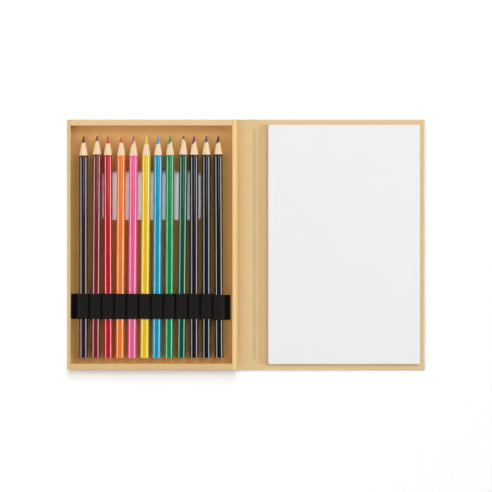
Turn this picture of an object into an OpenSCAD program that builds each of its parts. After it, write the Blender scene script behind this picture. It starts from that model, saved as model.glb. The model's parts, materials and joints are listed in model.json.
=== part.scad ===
// Book-style pencil box with a sketch pad, lying open and flat.
// +X runs from the tray half to the pad half, +Y points to the head of the box, +Z is up.
// The origin is at the bottom centre of the open box. All sizes are in millimetres.

/* [Pencils] */
// Diameter of a round pencil
pencil_d = 7.0; // [5:0.1:10]
// Length of a sharpened pencil
pencil_len = 177; // [140:1:190]
// Length of the sharpened cone
cone_len = 15.6; // [10:0.2:24]
// Diameter of the worn point
point_d = 1.1; // [0.4:0.1:1.6]
// Diameter of the coloured core
core_d = 3; // [2:0.1:3.4]
// Width of the bevel round the cut end
end_bevel = 0.3; // [0.1:0.1:0.8]
// Thickness of the lacquer on the barrel
lacquer_t = 0.1; // [0.05:0.05:0.2]

/* [Elastic] */
// Width of the elastic
band_w = 20; // [8:0.2:30]
// Thickness of the elastic
band_t = 0.7; // [0.4:0.1:1.0]
// Room beside a pencil in its loop
loop_side_room = 0.4; // [0.3:0.05:0.8]
// Room above a pencil in its loop
loop_top_room = 0.25; // [0.15:0.05:0.4]
// Width of the sewn valley between two loops
valley_w = 0.6; // [0.5:0.1:2]
// From the pencils' cut ends to the elastic
band_up = 31.2; // [10:0.2:90]
// Bare floor between the elastic's right end and the wall
tab_gap = 1.5; // [0.5:0.1:4]
// Thickness of the sewing thread
thread_d = 0.4; // [0.2:0.05:0.45]
// Length of one stitch
stitch_len = 1.7; // [0.8:0.1:2.4]
// Distance from one stitch to the next
stitch_pitch = 2.7; // [2.5:0.1:5]

/* [Tray] */
// Thickness of the left and right walls
side_wall = 2.8; // [1.5:0.1:5]
// Thickness of the head and foot walls
end_wall = 4.8; // [2:0.1:8]
// Room between the elastic's top and the rim
rim_room = 0.25; // [0.1:0.05:5]
// Radius of the walls' top edges
wall_round = 0.6; // [0.2:0.1:0.7]
// Thickness of the floor card
floor_t = 0.4; // [0.2:0.1:1.5]
// Room between the left wall and the first loop
room_left = 5.5; // [4:0.1:20]
// Room between the last loop and the right wall
room_right = 6.3; // [5:0.1:20]
// Room between the head wall and the pencils' points
room_head = 7.9; // [5:0.1:30]
// Room between the foot wall and the pencils' cut ends
room_foot = 4.3; // [3:0.1:30]
// Play under a pencil and round the elastic's ends
play = 0.1; // [0.05:0.05:0.3]

/* [Window] */
// Width of the die-cut window in the tray half
window_w = 78.6; // [30:0.2:100]
// Height of the window
window_h = 39.2; // [20:0.2:60]
// Corner radius of the window
window_r = 3; // [1:0.5:8]
// From the middle of the board up to the middle of the window
window_up = 39.4; // [0:0.2:50]

/* [Case] */
// Thickness of the grey boards
board_t = 1.6; // [1:0.1:3]
// Thickness of the kraft papers
paper_t = 0.2; // [0.1:0.05:0.25]
// Board that shows outside the tray
tray_margin = 0.6; // [0.3:0.1:4]
// Height of the two fold lines: the middle of the arc that a groove's paper bends round
fold_z = 0.7; // [0.5:0.05:1]
// Room between the tray and the spine when it is folded up
tray_fold_room = 0.3; // [0.2:0.1:3]
// Room between the spine and the pad board when that is folded over
pad_fold_room = 0.4; // [0.2:0.1:3]
// Room between the pad and the tray's rim in the closed box
close_room = 0.4; // [0.2:0.1:5]
// How much narrower the pad board is than the tray board
cover_short = 2.2; // [0:0.1:4]
// Width of the turned-in paper inside the boards' edges
turn_in = 6; // [3:0.5:12]
// Radius of the boards' edges beside the grooves
board_round = 0.6; // [0.2:0.1:0.8]

/* [Pad] */
// From the pad board's edge at the spine to the sheets
pad_left = 8.4; // [7:0.1:20]
// From the sheets to the pad board's outer edge
pad_right = 3.6; // [1:0.1:20]
// From the sheets to the board's head edge
pad_head = 4.4; // [1:0.1:20]
// From the sheets to the board's foot edge
pad_foot = 4.8; // [1:0.1:20]
// Thickness of the block of sheets under the top sheet
block_t = 2.0; // [1:0.1:12]
// Thickness of the sheet that lifts
sheet_t = 0.2; // [0.1:0.05:0.3]
// Thickness of the backing card
backing_t = 0.4; // [0.2:0.1:0.6]
// From the pad board's edge at the spine to the backing card
backing_gap = 1.2; // [0.8:0.1:6]
// Thickness of the gum on the bound edge
gum_t = 0.3; // [0.1:0.1:0.8]
// Corner radius of the sheets
sheet_round = 1; // [0.5:0.5:4]

/* [Hidden] */
$fn = 48;
cut = 1;  // how far a cutting shape reaches past what it cuts
pencil_count = 12;  // the pencils are named one by one in NODES

// How each pencil leans in its loop, in degrees towards the right at the point
leans = [0, 0.4, -0.1, 0.4, 0.4, 0.5, 0.45, 0.3, 0.6, 0, 0, -0.25];
// How far each pencil lies to the right of the middle of its loop, in millimetres
shifts = [0.1, 0.2, 0.15, -0.1, -0.15, 0.05, -0.2, -0.2, 0.05, 0, 0, 0.2];
// How far off centre each core sits, to the right and up, in millimetres
core_offsets = [[-0.1, 0], [-0.1, -0.25], [0, 0.15], [0, -0.05], [-0.45, 0.05], [0, 0.25],
                [-0.15, 0.25], [-0.25, 0.1], [0.1, -0.55], [-0.35, 0.1], [-0.1, -0.05], [-0.2, 0.05]];
// How much longer each pencil is sharpened than cone_len, in millimetres
cone_extras = [0.6, -0.3, 0.3, 0.7, 0.8, 0.8, 0.3, 0.2, -0.1, 0, -0.1, -0.3];
// How much wider than point_d each point is worn, in millimetres
point_wear = [0, 0, 0, 0.4, 0, 0, 0, 0, 0, 0, 0, 0];
lacquers = ["#331c1b", "#792428", "#bb1524", "#e87c33", "#e86a98", "#e5c529",
            "#0a9abe", "#00894e", "#06553a", "#1c1521", "#171d22", "#181818"];
cores = ["#5a3a2c", "#8a3f38", "#c85046", "#d25f41", "#be5a73", "#e1c850",
         "#64a0cd", "#3c9141", "#3b4a2c", "#64405f", "#505069", "#463214"];
kraft = "#d9b483";
dark_kraft = "#a87448";
bare_wood = "#f0d3a6";

// Heights
lining_z = paper_t + board_t;          // underside of the lining on a board
inside_z = lining_z + paper_t;         // inner face of the boards over their lining
floor_z = inside_z + floor_t;          // tray floor
axis_z = floor_z + play + pencil_d / 2;  // middle of a pencil
loop_top_z = axis_z + pencil_d / 2 + loop_top_room;
rim_z = loop_top_z + band_t + rim_room;  // top of the tray walls
block_z = inside_z + backing_t;          // underside of the pad's sheets
pad_top_z = block_z + block_t + sheet_t;

// The row of pencils and loops
loop_r = pencil_d / 2 + loop_side_room;      // inside of a loop
loop_z = loop_top_z - loop_r;                // centre of a loop's arch
loop_outer_r = loop_r + band_t;
pitch = 2 * loop_outer_r + valley_w;
row_w = (pencil_count - 1) * pitch + 2 * loop_outer_r;

// The grooves let each panel fold up clear of the last, and the spine spans the closed box
groove_tray = 2 * (inside_z - fold_z + tray_fold_room);
groove_pad = 2 * (inside_z - fold_z + pad_fold_room);
spine_w = rim_z + close_room + pad_top_z - 2 * fold_z - (groove_tray + groove_pad) / 2;

// Along X, from the left edge of the open box
inner_w = room_left + row_w + room_right;
tray_w = inner_w + 2 * side_wall;
tray_board_w = tray_w + tray_margin;
pad_board_w = tray_board_w - cover_short;
total_w = tray_board_w + groove_tray + spine_w + groove_pad + pad_board_w;
left_x = -total_w / 2;
tray_board_end = left_x + tray_board_w;
fold_1_x = tray_board_end + groove_tray / 2;    // fold between tray half and spine
spine_x = tray_board_end + groove_tray;
spine_end = spine_x + spine_w;
fold_2_x = spine_end + groove_pad / 2;          // fold between spine and pad half
pad_board_x = spine_end + groove_pad;
right_x = total_w / 2;
tray_x = left_x + tray_margin;
inner_x = tray_x + side_wall;
first_x = inner_x + room_left + loop_outer_r;   // middle of the first pencil
window_x = (left_x + tray_board_end) / 2;

// Along Y, from the middle of the box
inner_h = room_foot + pencil_len + room_head;
tray_h = inner_h + 2 * end_wall;
board_h = tray_h + 2 * tray_margin;
pencil_y = -inner_h / 2 + room_foot;            // the pencils' cut ends
band_y = pencil_y + band_up;
band_mid_y = band_y + band_w / 2;
pad_y = -board_h / 2 + pad_foot;
pad_h = board_h - pad_foot - pad_head;
pad_x = pad_board_x + pad_left;
pad_w = pad_board_w - pad_left - pad_right;
backing_reach = pad_left - backing_gap;         // past the bound edge of the sheets

// ---- Shapes used by several pieces ----

// A shape drawn in X and Z, run along Y from y0 to y1
module along_y(y0, y1) {
    translate([0, y1, 0]) rotate([90, 0, 0]) linear_extrude(height = y1 - y0) children();
}

// A block between two corners
module block(low, high) {
    translate(low) cube(high - low);
}

// The outline of a strip of board seen from its end, with round top edges where asked
module board_outline(x0, x1, z0, z1, round_left, round_right) {
    difference() {
        translate([x0, z0]) square([x1 - x0, z1 - z0]);
        if (round_left > 0) corner_waste(x0, z1, round_left, 1);
        if (round_right > 0) corner_waste(x1, z1, round_right, -1);
    }
}

// What a round edge takes off a square corner at x, z; side is 1 on a left edge, -1 on a right one
module corner_waste(x, z, r, side) {
    difference() {
        translate([side > 0 ? x - cut : x - r, z - r]) square([r + cut, r + cut]);
        translate([x + side * r, z - r]) circle(r);
    }
}

// A flat rectangle with round corners
module round_rectangle(w, h, r) {
    union() {
        translate([-w / 2 + r, -h / 2]) square([w - 2 * r, h]);
        translate([-w / 2, -h / 2 + r]) square([w, h - 2 * r]);
        for (sx = [-1, 1], sy = [-1, 1]) translate([sx * (w / 2 - r), sy * (h / 2 - r)]) circle(r);
    }
}

// The window, right through the tray half
module window_waste() {
    translate([window_x, window_up, -cut])
        linear_extrude(height = floor_z + 2 * cut) round_rectangle(window_w, window_h, window_r);
}

// ---- The case: boards, wrap and lining ----

// The grey board of one panel; its edges lie inside the papers
module panel_core(x0, x1, round_left, round_right) {
    along_y(-board_h / 2 + paper_t, board_h / 2 - paper_t)
        board_outline(x0 + paper_t, x1 - paper_t, paper_t, lining_z, round_left, round_right);
}

// One panel with all its papers, grown at the grooves to the fold lines
module panel_full(x0, x1, round_left, round_right, fold_from, fold_to) {
    along_y(-board_h / 2, board_h / 2) union() {
        board_outline(x0, x1, 0, inside_z, round_left, round_right);
        translate([fold_from, 0]) square([fold_to - fold_from, 2 * paper_t]);
    }
}

// The room that the lining takes: all that lies over the outer paper, inside the turned-in edges
module lining_room(x0, x1) {
    block([x0, -board_h / 2 + turn_in, paper_t], [x1, board_h / 2 - turn_in, inside_z + cut]);
}

// The wrap: the outer sheet, the boards' edges and the turned-in strips
module panel_wrap(x0, x1, round_left, round_right, fold_from, fold_to, lining_from, lining_to) {
    difference() {
        panel_full(x0, x1, round_left, round_right, fold_from, fold_to);
        panel_core(x0, x1, round_left, round_right);
        lining_room(lining_from, lining_to);
    }
}

// The lining: over the board between the turned-in strips, and down into the grooves
module panel_lining(x0, x1, round_left, round_right, fold_from, fold_to, lining_from, lining_to) {
    difference() {
        intersection() {
            panel_full(x0, x1, round_left, round_right, fold_from, fold_to);
            lining_room(lining_from, lining_to);
        }
        panel_core(x0, x1, round_left, round_right);
    }
}

module tray_board() {
    color("#8f8c86") difference() {
        panel_core(left_x, tray_board_end, 0, 0);
        window_waste();
    }
}

module tray_wrap() {
    color(kraft) difference() {
        panel_wrap(left_x, tray_board_end, 0, 0, left_x, fold_1_x, left_x + turn_in, fold_1_x + cut);
        window_waste();
    }
}

module tray_lining() {
    color(kraft) difference() {
        panel_lining(left_x, tray_board_end, 0, 0, left_x, fold_1_x, left_x + turn_in, fold_1_x + cut);
        window_waste();
    }
}

module spine_board() {
    color("#8f8c86") panel_core(spine_x, spine_end, board_round, board_round);
}

module spine_wrap() {
    color(kraft) panel_wrap(spine_x, spine_end, board_round, board_round, fold_1_x, fold_2_x,
                            fold_1_x - cut, fold_2_x + cut);
}

module spine_lining() {
    color(kraft) panel_lining(spine_x, spine_end, board_round, board_round, fold_1_x, fold_2_x,
                              fold_1_x - cut, fold_2_x + cut);
}

module pad_board() {
    color("#8f8c86") panel_core(pad_board_x, right_x, board_round, 0);
}

module pad_wrap() {
    color(kraft) panel_wrap(pad_board_x, right_x, board_round, 0, fold_2_x, right_x,
                            fold_2_x - cut, right_x - turn_in);
}

module pad_lining() {
    color(kraft) panel_lining(pad_board_x, right_x, board_round, 0, fold_2_x, right_x,
                              fold_2_x - cut, right_x - turn_in);
}

// ---- The tray ----

module tray_floor() {
    color(dark_kraft) difference() {
        block([inner_x, -inner_h / 2, inside_z], [inner_x + inner_w, inner_h / 2, floor_z]);
        window_waste();
    }
}

// A wrapped wall along Y, x0 to x1, with both top edges round
module side_wall_bar(x0, x1) {
    along_y(-tray_h / 2, tray_h / 2)
        board_outline(x0, x1, inside_z, rim_z, wall_round, wall_round);
}

// A wrapped wall along X between the side walls, y0 to y1
module end_wall_bar(y0, y1) {
    translate([inner_x, 0, 0]) rotate([90, 0, 90]) linear_extrude(height = inner_w)
        board_outline(y0, y1, inside_z, rim_z, wall_round, wall_round);
}

module tray_wall_left() {
    color(kraft) side_wall_bar(tray_x, inner_x);
}

module tray_wall_right() {
    color(kraft) side_wall_bar(inner_x + inner_w, inner_x + inner_w + side_wall);
}

module tray_wall_head() {
    color(kraft) end_wall_bar(inner_h / 2, tray_h / 2);
}

module tray_wall_foot() {
    color(kraft) end_wall_bar(-tray_h / 2, -inner_h / 2);
}

// ---- The elastic ----

// A round-topped opening or loop, from below the floor to its arch
module arch(r, bottom_z) {
    union() {
        translate([-r, bottom_z]) square([2 * r, loop_z - bottom_z]);
        intersection() {
            translate([0, loop_z]) circle(r);
            translate([-r, loop_z - cut]) square([2 * r, r + cut]);
        }
    }
}

module at_each_loop() {
    for (i = [0 : pencil_count - 1]) translate([first_x + i * pitch, 0]) children();
}

// The woven elastic: over each pencil, sewn flat to the floor between them and at both ends
module elastic_band() {
    end_x = inner_x + inner_w - tab_gap;
    color("#1f1c1a") along_y(band_y, band_y + band_w) difference() {
        union() {
            translate([inner_x + play, floor_z]) square([end_x - inner_x - play, band_t]);
            at_each_loop() arch(loop_outer_r, floor_z);
        }
        at_each_loop() arch(loop_r, floor_z - cut);
    }
}

// Rows of stitches in the valleys and along both end tabs
module band_stitches() {
    rows = floor((band_w - stitch_len) / stitch_pitch);
    start_y = band_mid_y - (rows * stitch_pitch + stitch_len) / 2;
    first_valley = first_x - loop_outer_r - valley_w / 2;
    color("#2b2826") for (i = [0 : pencil_count], k = [0 : rows])
        translate([first_valley + i * pitch - thread_d / 2, start_y + k * stitch_pitch,
                   floor_z + band_t])
            cube([thread_d, stitch_len, thread_d / 2]);
}

// ---- The pad ----

// A flat rectangle of paper or card with round outer corners, from x0 to the pad's right edge
module leaf(x0, z0, t) {
    w = pad_x + pad_w - x0;
    translate([x0 + w / 2, pad_y + pad_h / 2, z0])
        linear_extrude(height = t) round_rectangle(w, pad_h, sheet_round);
}

module pad_backing() {
    color(kraft) leaf(pad_x - backing_reach, inside_z, backing_t);
}

module pad_block() {
    color("#efeeee") leaf(pad_x, block_z, block_t);
}

module pad_gum() {
    color("#e8e4da") block([pad_x - gum_t, pad_y + sheet_round, block_z],
                           [pad_x, pad_y + pad_h - sheet_round, block_z + block_t]);
}

module pad_top_sheet() {
    color("#f2f1f1") leaf(pad_x, block_z + block_t, sheet_t);
}

// ---- The pencils ----

// Places a pencil drawn along +Y from its cut end, leaning about the middle of the elastic
module in_loop(i) {
    translate([first_x + i * pitch + shifts[i], band_mid_y, axis_z])
        rotate([0, 0, -leans[i]])
            translate([0, pencil_y - band_mid_y, 0]) children();
}

// The whole pencil as one revolved outline: bevelled end, barrel, cone and worn point
module pencil_form(i) {
    r = pencil_d / 2;
    tip_r = (point_d + point_wear[i]) / 2;
    cone = cone_len + cone_extras[i];
    worn_off = point_wear[i] / 2 * (cone - point_d / 2) / (r - point_d / 2);
    end = pencil_len - worn_off;
    rotate([-90, 0, 0]) rotate_extrude() union() {
        polygon([[0, 0], [r - end_bevel, 0], [r, end_bevel], [r, pencil_len - cone],
                 [tip_r, end - tip_r], [0, end - tip_r]]);
        intersection() {
            translate([0, end - tip_r]) circle(tip_r);
            translate([0, end - 2 * tip_r]) square([tip_r, 2 * tip_r]);
        }
    }
}

// The core's rod, off centre as in a real pencil, so that sharpening cuts its edge on a slant
module core_rod(i, past) {
    translate([core_offsets[i][0], -past, core_offsets[i][1]]) rotate([-90, 0, 0])
        cylinder(h = pencil_len + 2 * past, d = core_d);
}

// The wood's own cylinder, which the lacquer is laid on
module wood_rod() {
    translate([0, -cut, 0]) rotate([-90, 0, 0])
        cylinder(h = pencil_len + 2 * cut, d = pencil_d - 2 * lacquer_t);
}

// The wooden casing, bare where it is sharpened and at the cut end
module pencil_casing(i) {
    color(bare_wood) in_loop(i) difference() {
        intersection() {
            pencil_form(i);
            wood_rod();
        }
        core_rod(i, cut);
    }
}

// The lacquer, a coat that ends where the sharpening cuts through it
module pencil_lacquer(i) {
    color(lacquers[i]) in_loop(i) difference() {
        pencil_form(i);
        wood_rod();
    }
}

module pencil_core(i) {
    color(cores[i]) in_loop(i) intersection() {
        pencil_form(i);
        core_rod(i, 0);
    }
}

// ---- The nodes ----

tray_board();
tray_wrap();
tray_lining();
tray_floor();
tray_wall_left();
tray_wall_right();
tray_wall_head();
tray_wall_foot();
elastic_band();
band_stitches();
spine_board();
spine_wrap();
spine_lining();
pad_board();
pad_wrap();
pad_lining();
pad_backing();
pad_block();
pad_gum();
pad_top_sheet();
pencil_casing(0);  // pencil_01_casing
pencil_lacquer(0);  // pencil_01_lacquer
pencil_core(0);  // pencil_01_core
pencil_casing(1);  // pencil_02_casing
pencil_lacquer(1);  // pencil_02_lacquer
pencil_core(1);  // pencil_02_core
pencil_casing(2);  // pencil_03_casing
pencil_lacquer(2);  // pencil_03_lacquer
pencil_core(2);  // pencil_03_core
pencil_casing(3);  // pencil_04_casing
pencil_lacquer(3);  // pencil_04_lacquer
pencil_core(3);  // pencil_04_core
pencil_casing(4);  // pencil_05_casing
pencil_lacquer(4);  // pencil_05_lacquer
pencil_core(4);  // pencil_05_core
pencil_casing(5);  // pencil_06_casing
pencil_lacquer(5);  // pencil_06_lacquer
pencil_core(5);  // pencil_06_core
pencil_casing(6);  // pencil_07_casing
pencil_lacquer(6);  // pencil_07_lacquer
pencil_core(6);  // pencil_07_core
pencil_casing(7);  // pencil_08_casing
pencil_lacquer(7);  // pencil_08_lacquer
pencil_core(7);  // pencil_08_core
pencil_casing(8);  // pencil_09_casing
pencil_lacquer(8);  // pencil_09_lacquer
pencil_core(8);  // pencil_09_core
pencil_casing(9);  // pencil_10_casing
pencil_lacquer(9);  // pencil_10_lacquer
pencil_core(9);  // pencil_10_core
pencil_casing(10);  // pencil_11_casing
pencil_lacquer(10);  // pencil_11_lacquer
pencil_core(10);  // pencil_11_core
pencil_casing(11);  // pencil_12_casing
pencil_lacquer(11);  // pencil_12_lacquer
pencil_core(11);  // pencil_12_core
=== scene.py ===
"""The looks of a book-style pencil box with a sketch pad, lying open and flat.

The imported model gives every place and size; this script dresses it. All lengths are in metres,
in the model's own frame: +X from the tray to the pad, +Y to the head of the box, +Z up.
"""

import json
import logging
import math
import random
from collections.abc import Callable, Sequence
from dataclasses import dataclass, field
from enum import Enum

import bmesh
import bpy
from mathutils import Matrix, Vector


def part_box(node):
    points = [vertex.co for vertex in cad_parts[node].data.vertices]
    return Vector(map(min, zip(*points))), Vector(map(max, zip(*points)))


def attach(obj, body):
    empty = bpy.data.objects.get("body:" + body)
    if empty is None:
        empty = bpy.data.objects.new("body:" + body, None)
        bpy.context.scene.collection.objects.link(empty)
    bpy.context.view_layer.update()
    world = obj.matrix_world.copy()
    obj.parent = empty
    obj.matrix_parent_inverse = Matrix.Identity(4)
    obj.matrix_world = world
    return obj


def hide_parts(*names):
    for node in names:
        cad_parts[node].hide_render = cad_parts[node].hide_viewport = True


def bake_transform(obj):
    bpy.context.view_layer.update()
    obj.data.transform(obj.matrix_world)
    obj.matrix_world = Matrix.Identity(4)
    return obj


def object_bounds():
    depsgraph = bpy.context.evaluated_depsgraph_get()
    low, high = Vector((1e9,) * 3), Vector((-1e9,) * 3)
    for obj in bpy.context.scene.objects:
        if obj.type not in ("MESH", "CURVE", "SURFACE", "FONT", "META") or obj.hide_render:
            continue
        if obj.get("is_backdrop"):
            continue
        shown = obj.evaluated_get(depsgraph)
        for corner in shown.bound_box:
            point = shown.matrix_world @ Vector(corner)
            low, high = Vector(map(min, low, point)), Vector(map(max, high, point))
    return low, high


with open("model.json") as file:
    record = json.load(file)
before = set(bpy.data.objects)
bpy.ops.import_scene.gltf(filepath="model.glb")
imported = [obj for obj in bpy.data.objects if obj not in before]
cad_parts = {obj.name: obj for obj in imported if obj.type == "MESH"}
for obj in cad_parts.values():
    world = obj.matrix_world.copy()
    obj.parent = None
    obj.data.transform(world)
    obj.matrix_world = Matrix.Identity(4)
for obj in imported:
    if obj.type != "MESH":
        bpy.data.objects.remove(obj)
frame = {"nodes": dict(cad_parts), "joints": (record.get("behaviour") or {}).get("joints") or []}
CAD_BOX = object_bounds()

MM = 0.001
NEAR = 0.01 * MM  # points closer than this are taken to lie in the same plane
SAME = 0.001 * MM  # points closer than this are taken to be one
FOLD_ANGLE = math.radians(60)  # an edge that turns more than this is a fold or a corner
PHOTO_PIXELS = 492
# Name of the vertex attribute that holds the painted shade along the spine's second groove.
CREASE_SHADE_ATTRIBUTE = "painted_crease_shade"
LOG = logging.getLogger("pencil_box")

Colour = tuple[float, float, float]
Socket = "Wire | float | Colour"


def colour(code: str) -> Colour:
    """Turns a screen colour such as "d9b483" into the linear colour that shaders take.

    Args:
        code: six hexadecimal digits, two each for red, green and blue.

    Returns:
        The linear red, green and blue, from 0 to 1.
    """
    parts = (int(code[i:i + 2], 16) / 255 for i in (0, 2, 4))
    return tuple(p / 12.92 if p <= 0.04045 else ((p + 0.055) / 1.055) ** 2.4 for p in parts)


def ease(t: float) -> float:
    """Goes smoothly from 0 to 1 as t goes from 0 to 1, and stays there outside."""
    t = min(max(t, 0.0), 1.0)
    return t * t * (3 - 2 * t)


def spread(low: float, high: float, count: int) -> list[float]:
    """Gives count numbers at equal steps from low to high."""
    return [low + (high - low) * i / (count - 1) for i in range(count)]


# ---- Shader graphs ----


@dataclass(frozen=True)
class Wire:
    """An output socket that can be used in Python expressions."""

    graph: "Graph"
    socket: bpy.types.NodeSocket

    def math(self, operation: str, other: "Wire | float" = 0.0, swapped: bool = False) -> "Wire":
        """Adds a Math node.

        Args:
            operation: the Math node's operation.
            other: the second value.
            swapped: whether the other value comes first.

        Returns:
            The node's result.
        """
        first, second = (other, self) if swapped else (self, other)
        return self.graph.node("Math", {"operation": operation}, {0: first, 1: second})

    def __add__(self, other: "Wire | float") -> "Wire":
        """Adds."""
        return self.math("ADD", other)

    def __radd__(self, other: float) -> "Wire":
        """Adds."""
        return self.math("ADD", other)

    def __sub__(self, other: "Wire | float") -> "Wire":
        """Subtracts."""
        return self.math("SUBTRACT", other)

    def __rsub__(self, other: float) -> "Wire":
        """Subtracts from a number."""
        return self.math("SUBTRACT", other, swapped=True)

    def __mul__(self, other: "Wire | float") -> "Wire":
        """Multiplies."""
        return self.math("MULTIPLY", other)

    def __rmul__(self, other: float) -> "Wire":
        """Multiplies."""
        return self.math("MULTIPLY", other)

    def sine(self) -> "Wire":
        """The sine of the value."""
        return self.math("SINE")

    def above(self, edge: float, softness: float) -> "Wire":
        """A mask that rises from 0 to 1 as the value passes an edge.

        Args:
            edge: the value at the middle of the rise.
            softness: how far the value goes during the rise.

        Returns:
            The mask.
        """
        limits = {"From Min": edge - softness / 2, "From Max": edge + softness / 2}
        return self.graph.node("MapRange", {"interpolation_type": "SMOOTHSTEP"},
                               {"Value": self, **limits})


class Graph:
    """The node tree of one material."""

    def __init__(self, name: str) -> None:
        """Starts an empty material.

        Args:
            name: the material's name.
        """
        self.material = bpy.data.materials.new(name)
        self.material.use_nodes = True
        self.tree = self.material.node_tree
        self.tree.nodes.clear()

    def node(self, kind: str, settings: dict | None = None, inputs: dict | None = None,
             output: int | str = 0) -> Wire:
        """Adds a node.

        Args:
            kind: the node's type, without its ShaderNode prefix.
            settings: its properties, set first.
            inputs: the values or links of its sockets, by name or number.
            output: the name or number of the socket that is wanted.

        Returns:
            That output socket.
        """
        made = self.tree.nodes.new("ShaderNode" + kind)
        for key, value in (settings or {}).items():
            setattr(made, key, value)
        for key, value in (inputs or {}).items():
            self.feed(made.inputs[key], value)
        return Wire(self, made.outputs[output])

    def feed(self, socket: bpy.types.NodeSocket, value: Socket) -> None:
        """Links a wire to a socket, or sets the socket's own value.

        Args:
            socket: the input socket.
            value: a wire, a number, a vector or a linear colour.
        """
        if isinstance(value, Wire):
            self.tree.links.new(value.socket, socket)
        elif socket.type == "RGBA":
            socket.default_value = (*value[:3], 1.0)
        else:
            socket.default_value = value

    def mix(self, factor: Socket, first: Socket, second: Socket) -> Wire:
        """Mixes two colours.

        Args:
            factor: 0 gives the first and 1 the second.
            first: a colour.
            second: a colour.

        Returns:
            The mixed colour.
        """
        return self.node("Mix", {"data_type": "RGBA"}, {0: factor, 6: first, 7: second}, 2)

    def shade(self, base: Socket, strength: "Wire | float") -> Wire:
        """Multiplies a colour by a grey value.

        Args:
            base: a colour.
            strength: the grey value.

        Returns:
            The darker or lighter colour.
        """
        return self.node("VectorMath", {"operation": "SCALE"}, {0: base, "Scale": strength})

    def place(self, scale: Sequence[float] = (1, 1, 1), turn: float = 0.0) -> Wire:
        """The place on the piece, in metres, turned and stretched for a pattern.

        Args:
            scale: how many times each axis is stretched.
            turn: how far the place is turned about Z, in radians.

        Returns:
            The vector for a texture.
        """
        place = self.node("TexCoord", output="Object")
        return self.node("Mapping", {}, {"Vector": place, "Rotation": (0, 0, turn),
                                         "Scale": scale})

    def noise(self, vector: Wire, per_metre: float, detail: float = 2.0,
              rough: float = 0.5) -> Wire:
        """A noise from 0 to 1.

        Args:
            vector: the place.
            per_metre: how many waves it has in a metre.
            detail: the number of finer waves.
            rough: the strength of the finer waves.

        Returns:
            The noise's value.
        """
        return self.node("TexNoise", {}, {"Vector": vector, "Scale": per_metre,
                                          "Detail": detail, "Roughness": rough})

    def bump(self, height: Wire, depth: float, strength: float = 1.0) -> Wire:
        """A normal for a height.

        Args:
            height: the height, where 1 is one depth.
            depth: the depth in metres.
            strength: how much of it shows.

        Returns:
            The normal.
        """
        return self.node("Bump", {}, {"Height": height, "Distance": depth, "Strength": strength})

    def finish(self, **sockets: Socket) -> bpy.types.Material:
        """Ends the material in one shader.

        Args:
            sockets: the shader's sockets, with their spaces as underscores.

        Returns:
            The material.
        """
        inputs = {key.replace("_", " "): value for key, value in sockets.items()}
        shader = self.node("BsdfPrincipled", {}, inputs)
        end = self.tree.nodes.new("ShaderNodeOutputMaterial")
        self.tree.links.new(shader.socket, end.inputs["Surface"])
        return self.material


# ---- Finishes ----


@dataclass(frozen=True)
class Kraft:
    """Unbleached paper or card: a mottled tone with long pale fibres and a few dark flecks.

    Where a piece has the painted crease shade attribute, the tone is darker by that share:
    painted shade.
    """

    name: str
    tone: str
    mottle: float = 0.03
    fibre: float = 0.05
    fleck: float = 0.25
    rough: float = 0.82

    def make(self) -> bpy.types.Material:
        """Builds the material.

        Returns:
            The material.
        """
        g = Graph(self.name)
        clouds = g.noise(g.place(), per_metre=55, detail=3, rough=0.6)
        along = g.noise(g.place((260, 1500, 900), 0.2), per_metre=1.0, detail=3, rough=0.65)
        across = g.noise(g.place((1400, 240, 900), -0.3), per_metre=1.0, detail=3, rough=0.65)
        grain = g.noise(g.place(), per_metre=2600, detail=2, rough=0.7)
        fibres = along * 0.5 + across * 0.5
        value = (1 - self.mottle) + clouds * (2 * self.mottle)
        value = value + (fibres - 0.5) * (4 * self.fibre)
        scraps = g.noise(g.place((900, 2300, 900), 0.9), per_metre=1.0, detail=1, rough=0.4)
        flecks = scraps.above(edge=0.72, softness=0.06)
        value = value - flecks * self.fleck * 0.5
        # Painted shade: the crease attribute darkens the tone along the groove's edge.
        value = value - g.node("Attribute", {"attribute_name": CREASE_SHADE_ATTRIBUTE}, output="Fac")
        height = fibres * 0.6 + grain * 0.4
        return g.finish(Base_Color=g.shade(colour(self.tone), value),
                        Roughness=self.rough + (grain - 0.5) * 0.1,
                        Specular_IOR_Level=0.3,
                        Normal=g.bump(height, depth=0.06 * MM, strength=0.55))


@dataclass(frozen=True)
class GreyBoard:
    """Recycled board, seen at its cut edges: grey layers with light and dark scraps."""

    name: str = "grey_board"
    tone: str = "9a968e"

    def make(self) -> bpy.types.Material:
        """Builds the material.

        Returns:
            The material.
        """
        g = Graph(self.name)
        layers = g.noise(g.place((300, 300, 4200)), per_metre=1.0, detail=2, rough=0.5)
        scraps = g.noise(g.place(), per_metre=1800, detail=2, rough=0.7)
        value = 0.8 + layers * 0.25 + (scraps - 0.5) * 0.35
        return g.finish(Base_Color=g.shade(colour(self.tone), value), Roughness=0.95,
                        Specular_IOR_Level=0.2,
                        Normal=g.bump(layers + scraps, depth=0.08 * MM, strength=0.6))


@dataclass(frozen=True)
class DrawingPaper:
    """White uncoated paper with a faint tooth."""

    name: str = "drawing_paper"
    tone: str = "f3f2f4"

    def make(self) -> bpy.types.Material:
        """Builds the material.

        Returns:
            The material.
        """
        g = Graph(self.name)
        tooth = g.noise(g.place(), per_metre=1900, detail=3, rough=0.6)
        clouds = g.noise(g.place(), per_metre=40, detail=2, rough=0.5)
        value = 0.985 + clouds * 0.02 + (tooth - 0.5) * 0.03
        return g.finish(Base_Color=g.shade(colour(self.tone), value), Roughness=0.9,
                        Specular_IOR_Level=0.25,
                        Normal=g.bump(tooth, depth=0.03 * MM, strength=0.5))


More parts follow.
